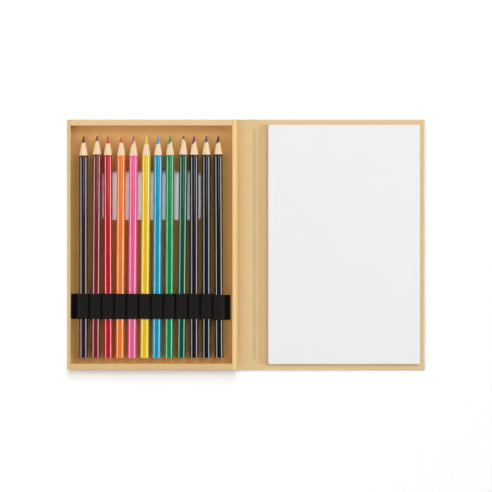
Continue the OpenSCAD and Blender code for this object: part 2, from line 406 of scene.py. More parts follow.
@dataclass(frozen=True)
class Webbing:
    """Black woven elastic: picks across the band, rubber cords along it, a little lint."""

    name: str = "elastic"
    tone: str = "15110f"
    lint: str = "5a554f"
    pick: float = 0.9 * MM
    cord: float = 1.3 * MM

    def make(self) -> bpy.types.Material:
        """Builds the material from the band's own map, which runs in metres.

        Returns:
            The material.
        """
        g = Graph(self.name)
        place = g.node("UVMap", {"uv_map": "along_band"})
        x = g.node("SeparateXYZ", {}, {0: place}, "X")
        y = g.node("SeparateXYZ", {}, {0: place}, "Y")
        picks = (x * (2 * math.pi / self.pick)).sine()
        cords = (y * (2 * math.pi / self.cord)).sine()
        yarn = (x * (6 * math.pi / self.pick) + cords * 1.5).sine()
        fuzz = g.noise(place, per_metre=3500, detail=3, rough=0.7)
        height = picks * 0.45 + cords * 0.3 + yarn * 0.15 + fuzz * 0.3
        lint = g.noise(place, per_metre=900, detail=2, rough=0.6).above(edge=0.74, softness=0.04)
        value = 0.9 + picks * 0.12 + (fuzz - 0.5) * 0.5
        tone = g.mix(lint * 0.6, g.shade(colour(self.tone), value), colour(self.lint))
        return g.finish(Base_Color=tone, Roughness=0.86, Specular_IOR_Level=0.22,
                        Sheen_Weight=0.06, Sheen_Roughness=0.5,
                        Normal=g.bump(height, depth=0.09 * MM, strength=0.8))


@dataclass(frozen=True)
class Thread:
    """Twisted black sewing thread."""

    name: str = "thread"
    tone: str = "262422"
    pitch: float = 0.35 * MM

    def make(self) -> bpy.types.Material:
        """Builds the material.

        Returns:
            The material.
        """
        g = Graph(self.name)
        place = g.place()
        y = g.node("SeparateXYZ", {}, {0: place}, "Y")
        x = g.node("SeparateXYZ", {}, {0: place}, "X")
        twist = ((x + y) * (2 * math.pi / self.pitch)).sine()
        return g.finish(Base_Color=g.shade(colour(self.tone), 0.9 + twist * 0.25),
                        Roughness=0.55, Normal=g.bump(twist, depth=0.05 * MM, strength=0.7))


@dataclass(frozen=True)
class Lacquer:
    """A glossy coloured coat on a pencil's barrel, with a faint wave and fine dust."""

    name: str
    tone: str
    gloss: float = 0.12

    def make(self) -> bpy.types.Material:
        """Builds the material.

        Returns:
            The material.
        """
        g = Graph(self.name)
        wave = g.noise(g.place((700, 120, 700)), per_metre=1.0, detail=2, rough=0.5)
        specks = g.noise(g.place(), per_metre=2200, detail=1, rough=0.5)
        dust = specks.above(edge=0.78, softness=0.05)
        value = 0.97 + wave * 0.06 + dust * 0.05
        return g.finish(Base_Color=g.shade(colour(self.tone), value),
                        Roughness=self.gloss + dust * 0.2, Coat_Weight=0.6, Coat_Roughness=0.08,
                        Normal=g.bump(wave, depth=0.02 * MM, strength=0.5))


@dataclass(frozen=True)
class BareWood:
    """Light close-grained wood, cut by a sharpener: lengthwise grain and fine blade marks."""

    name: str = "pencil_wood"
    tone: str = "f9e0b9"
    grain: str = "ddb783"

    def make(self) -> bpy.types.Material:
        """Builds the material.

        Returns:
            The material.
        """
        g = Graph(self.name)
        streaks = g.noise(g.place((2600, 90, 2600)), per_metre=1.0, detail=3, rough=0.6)
        pores = g.noise(g.place((4200, 420, 4200)), per_metre=1.0, detail=2, rough=0.6)
        blade = g.noise(g.place((300, 3200, 300)), per_metre=1.0, detail=2, rough=0.5)
        grain = streaks.above(edge=0.55, softness=0.3) * 0.55
        tone = g.mix(grain, colour(self.tone), colour(self.grain))
        return g.finish(Base_Color=g.shade(tone, 0.93 + pores * 0.12), Roughness=0.62,
                        Specular_IOR_Level=0.3,
                        Normal=g.bump(blade * 0.6 + pores * 0.4, depth=0.05 * MM, strength=0.6))


@dataclass(frozen=True)
class Pigment:
    """The waxy core of a coloured pencil, with blade marks round its point."""

    name: str
    tone: str

    def make(self) -> bpy.types.Material:
        """Builds the material.

        Returns:
            The material.
        """
        g = Graph(self.name)
        blade = g.noise(g.place((400, 3600, 400)), per_metre=1.0, detail=2, rough=0.6)
        grit = g.noise(g.place(), per_metre=4200, detail=2, rough=0.6)
        value = 0.88 + blade * 0.14 + (grit - 0.5) * 0.2
        return g.finish(Base_Color=g.shade(colour(self.tone), value), Roughness=0.5,
                        Normal=g.bump(blade * 0.5 + grit * 0.5, depth=0.04 * MM, strength=0.6))


@dataclass(frozen=True)
class Gum:
    """The dried gum on the pad's bound edge."""

    name: str = "gum"
    tone: str = "eeeae0"

    def make(self) -> bpy.types.Material:
        """Builds the material.

        Returns:
            The material.
        """
        g = Graph(self.name)
        brush = g.noise(g.place((900, 120, 2600)), per_metre=1.0, detail=2, rough=0.5)
        return g.finish(Base_Color=g.shade(colour(self.tone), 0.94 + brush * 0.08),
                        Roughness=0.35, Normal=g.bump(brush, depth=0.08 * MM, strength=0.6))


class Tone(Enum):
    """The finishes that several pieces share."""

    WRAP = Kraft("kraft_wrap", "e7c997")
    LINING = Kraft("kraft_lining", "e7c997")
    # The four walls are one kraft; their tones differ only as painted light and shade: the right
    # and head walls are painted lighter, the left and foot walls darker.
    WALL_LEFT_SHADED = Kraft("kraft_wall_left_shaded", "dec495")
    WALL_RIGHT_LIT = Kraft("kraft_wall_right_lit", "f4d499")
    WALL_HEAD_LIT = Kraft("kraft_wall_head_lit", "ecc999")
    WALL_FOOT_SHADED = Kraft("kraft_wall_foot_shaded", "dfbc84")
    BACKING = Kraft("backing_card", "debb89")
    FLOOR = Kraft("floor_card", "e0ad6b", mottle=0.05, fibre=0.07, fleck=0.35, rough=0.88)
    BOARD = GreyBoard()
    PAPER = DrawingPaper()
    ELASTIC = Webbing()
    THREAD = Thread()
    WOOD = BareWood()
    GUM = Gum()


class Paints:
    """Makes each finish once and hands it out again after that."""

    def __init__(self) -> None:
        """Starts with nothing made."""
        self.made: dict[str, bpy.types.Material] = {}

    def get(self, finish: "Tone | Lacquer | Pigment") -> bpy.types.Material:
        """Finds or makes a finish's material.

        Args:
            finish: a shared finish, or one of a pencil's own.

        Returns:
            The material.
        """
        recipe = finish.value if isinstance(finish, Tone) else finish
        if recipe.name not in self.made:
            self.made[recipe.name] = recipe.make()
        return self.made[recipe.name]


PAINTS = Paints()


# ---- Mesh work ----


def box_of(*nodes: str) -> tuple[Vector, Vector]:
    """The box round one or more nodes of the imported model.

    Args:
        nodes: the nodes' names.

    Returns:
        Its lowest and its highest corner.
    """
    boxes = [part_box(node) for node in nodes]
    low = Vector([min(b[0][i] for b in boxes) for i in range(3)])
    high = Vector([max(b[1][i] for b in boxes) for i in range(3)])
    return low, high


def block_mesh(low: Vector, high: Vector) -> bmesh.types.BMesh:
    """A block between two corners.

    Args:
        low: its lowest corner.
        high: its highest corner.

    Returns:
        The mesh.
    """
    bm = bmesh.new()
    middle, size = (low + high) / 2, high - low
    bmesh.ops.create_cube(bm, size=1, matrix=Matrix.LocRotScale(middle, None, size))
    return bm


def sheet_mesh(low: Vector, high: Vector, x_cuts: Sequence[float],
               y_cuts: Sequence[float]) -> bmesh.types.BMesh:
    """A flat rectangle at low's height, cut along X and Y where it will bend.

    Args:
        low: its lowest corner.
        high: its highest corner.
        x_cuts: the places of the cuts across X.
        y_cuts: the places of the cuts across Y.

    Returns:
        The mesh.
    """
    bm = bmesh.new()
    middle, size = (low + high) / 2, high - low
    matrix = Matrix.LocRotScale(Vector((middle.x, middle.y, low.z)), None,
                                Vector((size.x / 2, size.y / 2, 1)))
    bmesh.ops.create_grid(bm, x_segments=1, y_segments=1, size=1, matrix=matrix)
    cuts = [((x, 0, 0), (1, 0, 0)) for x in x_cuts] + [((0, y, 0), (0, 1, 0)) for y in y_cuts]
    for point, normal in cuts:
        geometry = bm.verts[:] + bm.edges[:] + bm.faces[:]
        bmesh.ops.bisect_plane(bm, geom=geometry, plane_co=point, plane_no=normal)
    return bm


def bevel(bm: bmesh.types.BMesh, edges: Sequence[bmesh.types.BMEdge], width: float,
          segments: int) -> None:
    """Rounds some edges.

    Args:
        bm: the mesh.
        edges: its edges to round.
        width: the width that the rounding takes off each face.
        segments: the number of strips in the rounding.
    """
    bmesh.ops.bevel(bm, geom=list(edges), offset=width, offset_type="OFFSET", affect="EDGES",
                    segments=segments, profile=0.5, material=-1, clamp_overlap=True)


def is_along(edge: bmesh.types.BMEdge, axis: int) -> bool:
    """Whether an edge runs along X (0), Y (1) or Z (2)."""
    way = (edge.verts[1].co - edge.verts[0].co).normalized()
    return abs(way[axis]) > 0.999


def close_up(bm: bmesh.types.BMesh) -> None:
    """Merges doubles and turns all faces outwards.

    Args:
        bm: the mesh.
    """
    bmesh.ops.remove_doubles(bm, verts=bm.verts[:], dist=SAME)
    bmesh.ops.recalc_face_normals(bm, faces=bm.faces[:])


def spin_profile(points: Sequence[tuple[float, float]], steps: int) -> bmesh.types.BMesh:
    """Turns a closed profile about the Y axis.

    Args:
        points: the profile's radius and place along Y, in order.
        steps: the number of steps in the full turn.

    Returns:
        The closed form.
    """
    bm = bmesh.new()
    corners = [bm.verts.new((radius, along, 0)) for radius, along in points]
    edges = [bm.edges.new((a, b)) for a, b in zip(corners, corners[1:] + corners[:1])]
    bmesh.ops.spin(bm, geom=corners + edges, cent=(0, 0, 0), axis=(0, 1, 0),
                   angle=2 * math.pi, steps=steps, use_merge=True)
    close_up(bm)
    return bm


def add_piece(name: str, bm: bmesh.types.BMesh, finish: bpy.types.Material,
              sharp: float = 35.0) -> bpy.types.Object:
    """Makes a scene object of a mesh.

    Args:
        name: the piece's name.
        bm: its mesh, which is used up.
        finish: its material.
        sharp: the angle in degrees past which an edge stays sharp.

    Returns:
        The object, at the origin.
    """
    mesh = bpy.data.meshes.new(name)
    bm.to_mesh(mesh)
    bm.free()
    mesh.materials.append(finish)
    mesh.shade_smooth()
    mesh.set_sharp_from_angle(angle=math.radians(sharp))
    piece = bpy.data.objects.new(name, mesh)
    bpy.context.scene.collection.objects.link(piece)
    LOG.info("%s: %d faces", name, len(mesh.polygons))
    return piece


def apply_modifiers(piece: bpy.types.Object) -> None:
    """Makes a piece's modifiers part of its mesh.

    Args:
        piece: the object.
    """
    graph = bpy.context.evaluated_depsgraph_get()
    mesh = bpy.data.meshes.new_from_object(piece.evaluated_get(graph))
    piece.modifiers.clear()
    old, piece.data = piece.data, mesh
    bpy.data.meshes.remove(old)


def even_light(piece: bpy.types.Object) -> None:
    """Keeps the large faces of a bevelled piece flat in the light."""
    piece.modifiers.new("even_light", "WEIGHTED_NORMAL").keep_sharp = True


def thicken(piece: bpy.types.Object, thickness: float) -> None:
    """Gives a sheet its thickness, half to each side.

    Args:
        piece: the sheet.
        thickness: its thickness.
    """
    wall = piece.modifiers.new("thickness", "SOLIDIFY")
    wall.thickness = thickness
    wall.offset = 0
    wall.use_even_offset = True
    apply_modifiers(piece)


# ---- The case ----


@dataclass
class Groove:
    """A groove beside the spine, where the papers bend."""

    start: float
    end: float
    fades_at: float
    parent: str
    child: str
    depth: float
    # Share of painted shade along the groove's spine-side edge.
    painted_crease_shade: float = 0.0
    rise_left: float = 0.8 * MM
    rise_right: float = 1.8 * MM
    inset: float = 0.3 * MM
    fade: float = 8 * MM
    left_over: float = 0.15  # of the depth, at the head and the foot
    # Where the painted shade line lies, how far it turns at the foot, and how wide it is.
    shade_from: float = 0.45 * MM
    shade_sway: float = 1.1 * MM  # how far the painted shade line turns away at the foot
    shade_width: float = 2.1 * MM
    cuts_before: float = 1.6 * MM
    cuts_past: float = 0.2 * MM
    cut_count: int = 34
    end_cuts_short: float = 0.3 * MM
    end_cut_count: int = 9

    def reach(self, x: float, y: float) -> float:
        """How deep the lining lies under the boards' top at a place.

        Args:
            x: the place along X.
            y: the place along Y.

        Returns:
            The depth, which fades out towards the head and the foot.
        """
        past = ease((abs(y) - self.fades_at + self.fade) / self.fade)
        sides = (ease((x - self.start) / self.rise_left)
                 * ease((self.end - x) / self.rise_right))
        return self.depth * sides * (1 - (1 - self.left_over) * past)

    def crease_shade_at(self, x: float, y: float) -> float:
        """How much painted shade darkens the lining along the spine's edge of the groove.

        Args:
            x: the place along X.
            y: the place along Y.

        Returns:
            The share by which its colour is darker there.
        """
        past = ease((abs(y) - self.fades_at + self.fade / 2) / (self.fade / 2))
        line = self.start + self.shade_from + (self.shade_sway * past if y < 0 else 0.0)
        side = ease(1 - abs(x - line) / self.shade_width)
        return self.painted_crease_shade * side * (1 - past)

    def cuts(self) -> list[float]:
        """The places along X where a paper is cut so that it can follow the groove."""
        return spread(self.start - self.cuts_before, self.end + self.cuts_past, self.cut_count)

    def end_cuts(self) -> list[float]:
        """The places along Y where the lining is cut so that the groove can fade out.

        Returns:
            The places, first those towards the foot.
        """
        ends = spread(self.fades_at - self.fade, self.fades_at - self.end_cuts_short,
                      self.end_cut_count)
        return [-y for y in ends] + ends

    def bend(self, piece: bpy.types.Object, height: float) -> None:
        """Bakes a paper's placement into its mesh; the groove's inner edges are worked out but
        not used.

        Args:
            piece: the paper.
            height: the height of the fold line; not used.
        """
        self.start + self.inset
        self.end - self.inset
        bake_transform(piece)


class Case:
    """The boards' papers: the outer wrap with its turned-in edges, and the lining."""

    turn_in: float = 6 * MM
    fold_round: float = 0.35 * MM
    lip_drop: float = 0.05 * MM
    groove_shares: tuple[float, float] = (0.2, 0.25)  # of the depth that there is room for
    wrap_share: float = 0.25  # how far the turned-in strip follows the lining into a groove
    # Share of painted shade along the edge of the groove beside the pad.
    painted_crease_shade: float = 0.2
    window_round: float = 3 * MM
    window_zone: tuple[float, float] = (45 * MM, 70 * MM)  # holds the window and no board edge
    cutter_reach: float = 30 * MM

    def __init__(self) -> None:
        """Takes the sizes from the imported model."""
        self.low, self.high = box_of("tray_wrap", "pad_wrap")
        spine_low, spine_high = box_of("spine_board")
        self.paper = box_of("tray_board")[0].z
        self.seam = (spine_low.x + spine_high.x) / 2
        self.fold_z = frame["joints"][0]["pos_m"][2]
        depth, end_y = self.high.z - 2 * self.paper, self.high.y - self.turn_in
        tray_end, pad_start = box_of("tray_board")[1].x, box_of("pad_board")[0].x
        self.grooves = (
            Groove(tray_end + self.paper, spine_low.x - self.paper, end_y, "tray_half",
                   "spine", depth * self.groove_shares[0]),
            Groove(spine_high.x + self.paper, pad_start - self.paper, end_y, "spine",
                   "pad_half", depth * self.groove_shares[1], self.painted_crease_shade))

    def build(self) -> None:
        """Builds both halves of the wrap and of the lining."""
        for side, groove, name in ((-1, self.grooves[0], "tray"), (1, self.grooves[1], "pad")):
            wrap = self.wrap(side, groove, name)
            lining = self.lining(side, groove, name)
            for piece in (wrap, lining):
                if side < 0:
                    self.cut_window(piece)
                even_light(piece)
                apply_modifiers(piece)
                groove.bend(piece, self.fold_z)
            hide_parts(name + "_wrap", "spine_wrap")
            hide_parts(name + "_lining", "spine_lining")
        for node in ("tray_board", "spine_board", "pad_board"):
            dress(node, PAINTS.get(Tone.BOARD))

    def wrap(self, side: int, groove: Groove, name: str) -> bpy.types.Object:
        """One half of the outer sheet, folded up round the board's edges and turned in.

        Args:
            side: -1 for the tray's half, 1 for the pad's.
            groove: the groove that it crosses.
            name: the half's name.

        Returns:
            The piece.
        """
        half = self.paper / 2
        outer = (self.low if side < 0 else self.high).x - side * half
        y_edge, top = self.high.y - half, self.high.z - half - self.lip_drop
        low = Vector((min(outer, self.seam), -y_edge, half))
        high = Vector((max(outer, self.seam), y_edge, half))
        bm = sheet_mesh(low, high, groove.cuts(), ())

        def at_seam(edge: bmesh.types.BMEdge) -> bool:
            """Whether an edge lies on the line where the two halves meet."""
            return all(abs(v.co.x - self.seam) < NEAR for v in edge.verts)

        rim = [e for e in bm.edges if e.is_boundary and not at_seam(e)]
        wall = bmesh.ops.extrude_edge_only(bm, edges=rim)["geom"]
        for vert in (v for v in wall if isinstance(v, bmesh.types.BMVert)):
            vert.co.z = top
        lip_edges = [e for e in wall if isinstance(e, bmesh.types.BMEdge)
                     and all(abs(v.co.z - top) < NEAR for v in e.verts)]
        lip = bmesh.ops.extrude_edge_only(bm, edges=lip_edges)["geom"]
        for vert in (v for v in lip if isinstance(v, bmesh.types.BMVert)):
            if abs(vert.co.x - outer) < NEAR:
                vert.co.x -= side * self.turn_in
            if abs(abs(vert.co.y) - y_edge) < NEAR:
                vert.co.y -= math.copysign(self.turn_in, vert.co.y)
            vert.co.z -= self.lip_drop
        folds = [e for e in bm.edges if len(e.link_faces) == 2
                 and e.calc_face_angle(0) > FOLD_ANGLE]
        bevel(bm, [e for e in folds if not is_along(e, 2)], self.fold_round, segments=3)
        bmesh.ops.recalc_face_normals(bm, faces=bm.faces[:])
        for vert in bm.verts:
            if vert.co.z > top / 2:
                vert.co.z -= self.wrap_share * groove.reach(vert.co.x, 0)
        piece = add_piece("case_wrap_" + name, bm, PAINTS.get(Tone.WRAP))
        thicken(piece, self.paper)
        return piece

    def lining(self, side: int, groove: Groove, name: str) -> bpy.types.Object:
        """One half of the inner sheet, pressed down into the groove.

        Args:
            side: -1 for the tray's half, 1 for the pad's.
            groove: the groove that it crosses.
            name: the half's name.

        Returns:
            The piece.
        """
        outer = (self.low if side < 0 else self.high).x - side * self.turn_in
        y_edge, level = self.high.y - self.turn_in, self.high.z - self.paper / 2
        low = Vector((min(outer, self.seam), -y_edge, level))
        high = Vector((max(outer, self.seam), y_edge, level))
        bm = sheet_mesh(low, high, groove.cuts(), groove.end_cuts())
        # Painted shade along the groove's edge, stored per vertex for the kraft finish.
        painted_crease_shade = bm.verts.layers.float.new(CREASE_SHADE_ATTRIBUTE)
        for vert in bm.verts:
            vert[painted_crease_shade] = groove.crease_shade_at(vert.co.x, vert.co.y)
            vert.co.z -= groove.reach(vert.co.x, vert.co.y)
        piece = add_piece("case_lining_" + name, bm, PAINTS.get(Tone.LINING))
        thicken(piece, self.paper)
        return piece

    def cut_window(self, piece: bpy.types.Object) -> None:
        """Cuts the window through a paper of the tray's half.

        Args:
            piece: the paper.
        """
        mesh = frame["nodes"]["tray_board"].data
        middle_x = (self.low.x + box_of("tray_board")[1].x + self.paper) / 2
        zone_x, zone_y = self.window_zone
        rim = [v.co for v in mesh.vertices
               if abs(v.co.x - middle_x) < zone_x and abs(v.co.y) < zone_y]
        low = Vector((min(c.x for c in rim), min(c.y for c in rim), -self.cutter_reach))
        high = Vector((max(c.x for c in rim), max(c.y for c in rim), self.cutter_reach))
        bm = block_mesh(low, high)
        bevel(bm, [e for e in bm.edges if is_along(e, 2)], self.window_round, segments=10)
        cutter = add_piece("window_cutter", bm, PAINTS.get(Tone.WRAP))
        cut = piece.modifiers.new("window", "BOOLEAN")
        cut.operation, cut.solver, cut.object = "DIFFERENCE", "EXACT", cutter
        apply_modifiers(piece)
        bpy.data.objects.remove(cutter)


def dress(node: str, finish: bpy.types.Material) -> None:
    """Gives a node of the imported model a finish.

    Args:
        node: the node's name.
        finish: its material.
    """
    mesh = frame["nodes"][node].data
    mesh.materials.clear()
    mesh.materials.append(finish)
    LOG.info("%s: dressed", node)


# ---- The tray ----


@dataclass(frozen=True)
class Wall:
    """One wrapped wall of the tray."""

    name: str
    finish: Tone
    runs_along: int


class Tray:
    """The tray's walls and floor card."""

    # Each wall's finish carries painted light or shade.
    walls: tuple[Wall, ...] = (
        Wall("left", Tone.WALL_LEFT_SHADED, 1), Wall("right", Tone.WALL_RIGHT_LIT, 1),
        Wall("head", Tone.WALL_HEAD_LIT, 0), Wall("foot", Tone.WALL_FOOT_SHADED, 0))
    edge_round: float = 0.6 * MM
    corner_round: float = 0.45 * MM
    worn_round: float = 2.0 * MM

    def build(self) -> None:
        """Builds the walls and dresses the floor card."""
        for wall in self.walls:
            self.wall(wall)
        dress("tray_floor", PAINTS.get(Tone.FLOOR))

    def wall(self, wall: Wall) -> None:
        """Builds one wall with soft edges.

        Args:
            wall: which wall, and its finish.
        """
        node = "tray_wall_" + wall.name
        low, high = box_of(node)
        bm = block_mesh(low, high)
        axis = wall.runs_along
        top = [e for e in bm.edges if is_along(e, axis)
               and all(v.co.z > high.z - NEAR for v in e.verts)]
        bevel(bm, top, self.edge_round, segments=4)
        if axis == 1:
            self.round_corners(bm, low, high, wall.name == "left")
        piece = add_piece("wall_" + wall.name, bm, PAINTS.get(wall.finish))
        even_light(piece)
        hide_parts(node)
        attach(piece, "tray_half")

    def round_corners(self, bm: bmesh.types.BMesh, low: Vector, high: Vector,
                      is_left: bool) -> None:
        """Rounds the outer upright edges of a side wall, and one worn corner more.

        Args:
            bm: the wall.
            low: its lowest corner.
            high: its highest corner.
            is_left: whether it is the left wall, whose foot corner is worn.
        """
        outer = low.x if is_left else high.x
        uprights = [e for e in bm.edges if is_along(e, 2)
                    and abs(e.verts[0].co.x - outer) < NEAR]
        worn = [e for e in uprights if is_left and e.verts[0].co.y < 0]
        bevel(bm, [e for e in uprights if e not in worn], self.corner_round, segments=3)
        if worn:
            bevel(bm, [e for e in worn if e.is_valid], self.worn_round, segments=6)


# ---- The elastic ----


class Elastic:
    """The woven elastic, sewn down between the pencils, and its stitches."""

    step: float = 0.3 * MM
    across: int = 26
    turn_round: float = 0.5 * MM
    rib: float = 0.9 * MM
    rib_depth: float = 0.035 * MM
    cord_waves: int = 13
    cord_depth: float = 0.02 * MM
    selvedge: float = 0.12  # as a share of half the band's width
    selvedge_thinning: float = 0.12 * MM
    slip: float = 0.95 * MM
    slips_over: float = 1.0 * MM
    narrowing: float = 0.08 * MM
    narrows_below: float = 4 * MM
    count: int = 12
    crest_depth: float = 0.02 * MM
    valley: float = 0.6 * MM
    stitch_rows: int = 7
    stitch: tuple[float, float, float] = (0.4 * MM, 1.7 * MM, 0.3 * MM)  # along X, Y and Z
    stitch_lift: float = 0.05 * MM
    stitch_round: float = 0.11 * MM

    def __init__(self) -> None:
        """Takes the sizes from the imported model, and the loops' places from their crests."""
        self.low, self.high = box_of("elastic_band")
        self.floor = box_of("tray_floor")[1].z
        self.middle_y = (self.low.y + self.high.y) / 2
        mesh = frame["nodes"]["elastic_band"].data
        crests = sorted(v.co.x for v in mesh.vertices
                        if v.co.z > self.high.z - self.crest_depth)
        each = len(crests) // self.count
        first, last = sum(crests[:each]) / each, sum(crests[-each:]) / each
        self.pitch = (last - first) / (self.count - 1)
        self.centres = spread(first, last, self.count)
        self.thickness = box_of("band_stitches")[0].z - self.floor
        self.radius = (self.pitch - self.valley) / 2 - self.thickness / 2

    def path(self) -> list[tuple[Vector, Vector]]:
        """The middle line of the band from its left end to its right end, in X and Z.

        Returns:
            Points at equal steps, each with the direction that is up there.
        """
        line = Track(Vector((self.low.x, 0, self.floor + self.thickness / 2)), self.step)
        r, turn = self.radius, self.turn_round
        crest = self.high.z - self.thickness / 2 - r
        for centre in self.centres:
            line.straight_to(Vector((centre - r - turn, 0, line.end.z)))
            line.arc(Vector((0, 0, turn)), 90)
            line.straight_to(Vector((line.end.x, 0, crest)))
            line.arc(Vector((r, 0, 0)), -180)
            line.straight_to(Vector((line.end.x, 0, self.floor + self.thickness / 2 + turn)))
            line.arc(Vector((turn, 0, 0)), 90)
        line.straight_to(Vector((self.high.x, 0, line.end.z)))
        return line.points

    def build(self) -> None:
        """Builds the band and its stitches."""
        self.band()
        self.stitches()

    def band(self) -> None:
        """Builds the band as a ribbed sheet along its path, with a map in metres."""
        points = self.path()
        bm = bmesh.new()
        bmesh.ops.create_grid(bm, x_segments=len(points) - 1, y_segments=self.across, size=0.5)
        marks = bm.loops.layers.uv.new("along_band")
        width = self.high.y - self.low.y
        last = self.centres[-1] - self.pitch / 2
        places = {}
        for vert in bm.verts:
            along, side = vert.co.x + 0.5, vert.co.y * 2
            index = round(along * (len(points) - 1))
            point, up = points[index]
            length = index * self.step
            places[vert] = (length, side * width / 2)
            rib = math.cos(2 * math.pi * length / self.rib) * self.rib_depth
            cord = math.cos(self.cord_waves * math.pi * side) * self.cord_depth
            thin = max(0.0, abs(side) - (1 - self.selvedge)) / self.selvedge
            edge = -self.selvedge_thinning * thin
            near_floor = 1 - ease((point.z - self.floor) / self.narrows_below)
            reach = width / 2 - self.narrowing * near_floor
            slipped = self.slip * ease((point.x - last) / self.slips_over)
            vert.co = point + up * (rib + cord + edge)
            vert.co.y = self.middle_y + side * reach - slipped
        for face in bm.faces:
            for loop in face.loops:
                loop[marks].uv = places[loop.vert]
        piece = add_piece("elastic", bm, PAINTS.get(Tone.ELASTIC), sharp=60)
        thicken(piece, self.thickness - 2 * self.rib_depth)
        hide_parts("elastic_band")
        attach(piece, "tray_half")

    def stitches(self) -> None:
        """Builds the seams: rows of short raised threads between the loops."""
        low, high = box_of("band_stitches")
        bm = bmesh.new()
        size = Vector(self.stitch)
        width, length, _ = self.stitch
        starts = spread(low.y, high.y - length, self.stitch_rows)
        seams = [self.centres[0] - self.pitch / 2] + [c + self.pitch / 2 for c in self.centres]
        for seam in seams:
            slip = self.slip if seam > self.centres[-1] - self.pitch / 2 + width else 0.0
            for start in starts:
                middle = Vector((seam, start + length / 2 - slip, low.z + self.stitch_lift))
                bmesh.ops.create_cube(bm, size=1, matrix=Matrix.LocRotScale(middle, None, size))
        bevel(bm, bm.edges[:], self.stitch_round, segments=2)
        piece = add_piece("stitches", bm, PAINTS.get(Tone.THREAD), sharp=60)
        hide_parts("band_stitches")
        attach(piece, "tray_half")


class Track:
    """A line in X and Z, laid as straights and arcs and kept as points at equal steps."""

    def __init__(self, start: Vector, step: float) -> None:
        """Starts the line.

        Args:
            start: its first point.
            step: the distance between its points.
        """
        self.end = start.copy()
        self.step = step
        self.spare = 0.0
        self.points: list[tuple[Vector, Vector]] = []

    def straight_to(self, goal: Vector) -> None:
        """Goes straight to a point.

        Args:
            goal: the point.
        """
        way = goal - self.end
        length = way.length
        if length < 1e-9:
            return
        way.normalize()
        up = Vector((-way.z, 0, way.x))
        start = self.end.copy()
        self.lay(length, lambda s: (start + way * s, up))
        self.end = goal.copy()

    def arc(self, to_centre: Vector, angle: float) -> None:
        """Goes round a centre.

        Args:
            to_centre: from the line's end to the centre.
            angle: the turn in degrees, above 0 to the left of the line's way.
        """
        centre = self.end + to_centre
        spoke, radius = -to_centre, to_centre.length
        turn = math.radians(angle)

        def place(s: float) -> tuple[Vector, Vector]:
            """Finds a place on the arc.

            Args:
                s: the length from the arc's start.

            Returns:
                The point and its upward direction.
            """
            now = math.copysign(s / radius, turn)
            c, t = math.cos(now), math.sin(now)
            turned = Vector((spoke.x * c - spoke.z * t, 0, spoke.x * t + spoke.z * c))
            up = turned.normalized() * (-1 if turn > 0 else 1)
            return centre + turned, up

        self.lay(abs(turn) * radius, place)
        self.end = place(abs(turn) * radius)[0]

    def lay(self, length: float, place: Callable[[float], tuple[Vector, Vector]]) -> None:
        """Adds the points of one stretch.

        Args:
            length: the stretch's length.
            place: gives the point and its upward direction at a length from its start.
        """
        at = self.spare
        while at < length:
            self.points.append(place(at))
            at += self.step
        self.spare = at - length


# ---- The pad ----


class Pad:
    """The sketch pad: backing card, sheets, gum and the sheet that lifts."""

    leaves: int = 16
    leaf_share: float = 0.93  # of a leaf's layer, the rest is the gap to the next leaf
    leaf_seed: int = 7
    unevenness: float = 0.07 * MM
    off_gum: float = 0.02 * MM
    corner_round: float = 1.0 * MM
    sheet_edge_round: float = 0.06 * MM
    gum_cuts: int = 60
    gum_lumps_mm: float = 0.14
    gum_seed: int = 11

    def build(self) -> None:
        """Builds the sheets and the gum, and dresses the backing card."""
        dress("pad_backing", PAINTS.get(Tone.BACKING))
        self.block()
        self.top_sheet()
        self.gum()

    def add_leaf(self, bm: bmesh.types.BMesh, low: Vector, high: Vector) -> None:
        """Adds one leaf with round corners to a mesh.

        Args:
            bm: the mesh.
            low: the leaf's lowest corner.
            high: its highest corner.
        """
        matrix = Matrix.LocRotScale((low + high) / 2, None, high - low)
        made = bmesh.ops.create_cube(bm, size=1, matrix=matrix)["verts"]
        edges = {e for v in made for e in v.link_edges if is_along(e, 2)}
        bevel(bm, edges, self.corner_round, segments=5)

    def block(self) -> None:
        """Builds the block as separate leaves, each a little out of line."""
        low, high = box_of("pad_block")
        draw = random.Random(self.leaf_seed)
        bm = bmesh.new()
        thickness = (high.z - low.z) / self.leaves
        for i in range(self.leaves):
            slip = Vector([draw.uniform(-self.unevenness, 0) for _ in range(2)] + [0])
            down = Vector((low.x + self.off_gum, low.y - slip.y, low.z + i * thickness))
            up = Vector((high.x + slip.x, high.y + slip.y,
                         low.z + (i + self.leaf_share) * thickness))
            self.add_leaf(bm, down, up)
        piece = add_piece("pad_sheets", bm, PAINTS.get(Tone.PAPER))
        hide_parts("pad_block")
        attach(piece, "pad_half")

    def top_sheet(self) -> None:
        """Builds the sheet that lifts, with softened edges."""
        low, high = box_of("pad_top_sheet")
        bm = bmesh.new()
        self.add_leaf(bm, low, high)
        rim = [e for e in bm.edges if e.calc_face_angle(0) > FOLD_ANGLE]
        bevel(bm, rim, self.sheet_edge_round, segments=2)
        piece = add_piece("top_sheet_leaf", bm, PAINTS.get(Tone.PAPER))
        even_light(piece)
        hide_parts("pad_top_sheet")
        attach(piece, "top_sheet")

    def gum(self) -> None:
        """Builds the brushed gum on the bound edge, with a lumpy face."""
        low, high = box_of("pad_gum")
        bm = block_mesh(low, high)
        for y in spread(low.y, high.y, self.gum_cuts)[1:-1]:
            geometry = bm.verts[:] + bm.edges[:] + bm.faces[:]
            bmesh.ops.bisect_plane(bm, geom=geometry, plane_co=(0, y, 0), plane_no=(0, 1, 0))
        draw = random.Random(self.gum_seed)
        for vert in bm.verts:
            if vert.co.x < low.x + NEAR:
                vert.co.x += draw.uniform(0, self.gum_lumps_mm) * MM
        piece = add_piece("gum_film", bm, PAINTS.get(Tone.GUM), sharp=70)
        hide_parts("pad_gum")
        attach(piece, "pad_half")


# ---- The pencils ----


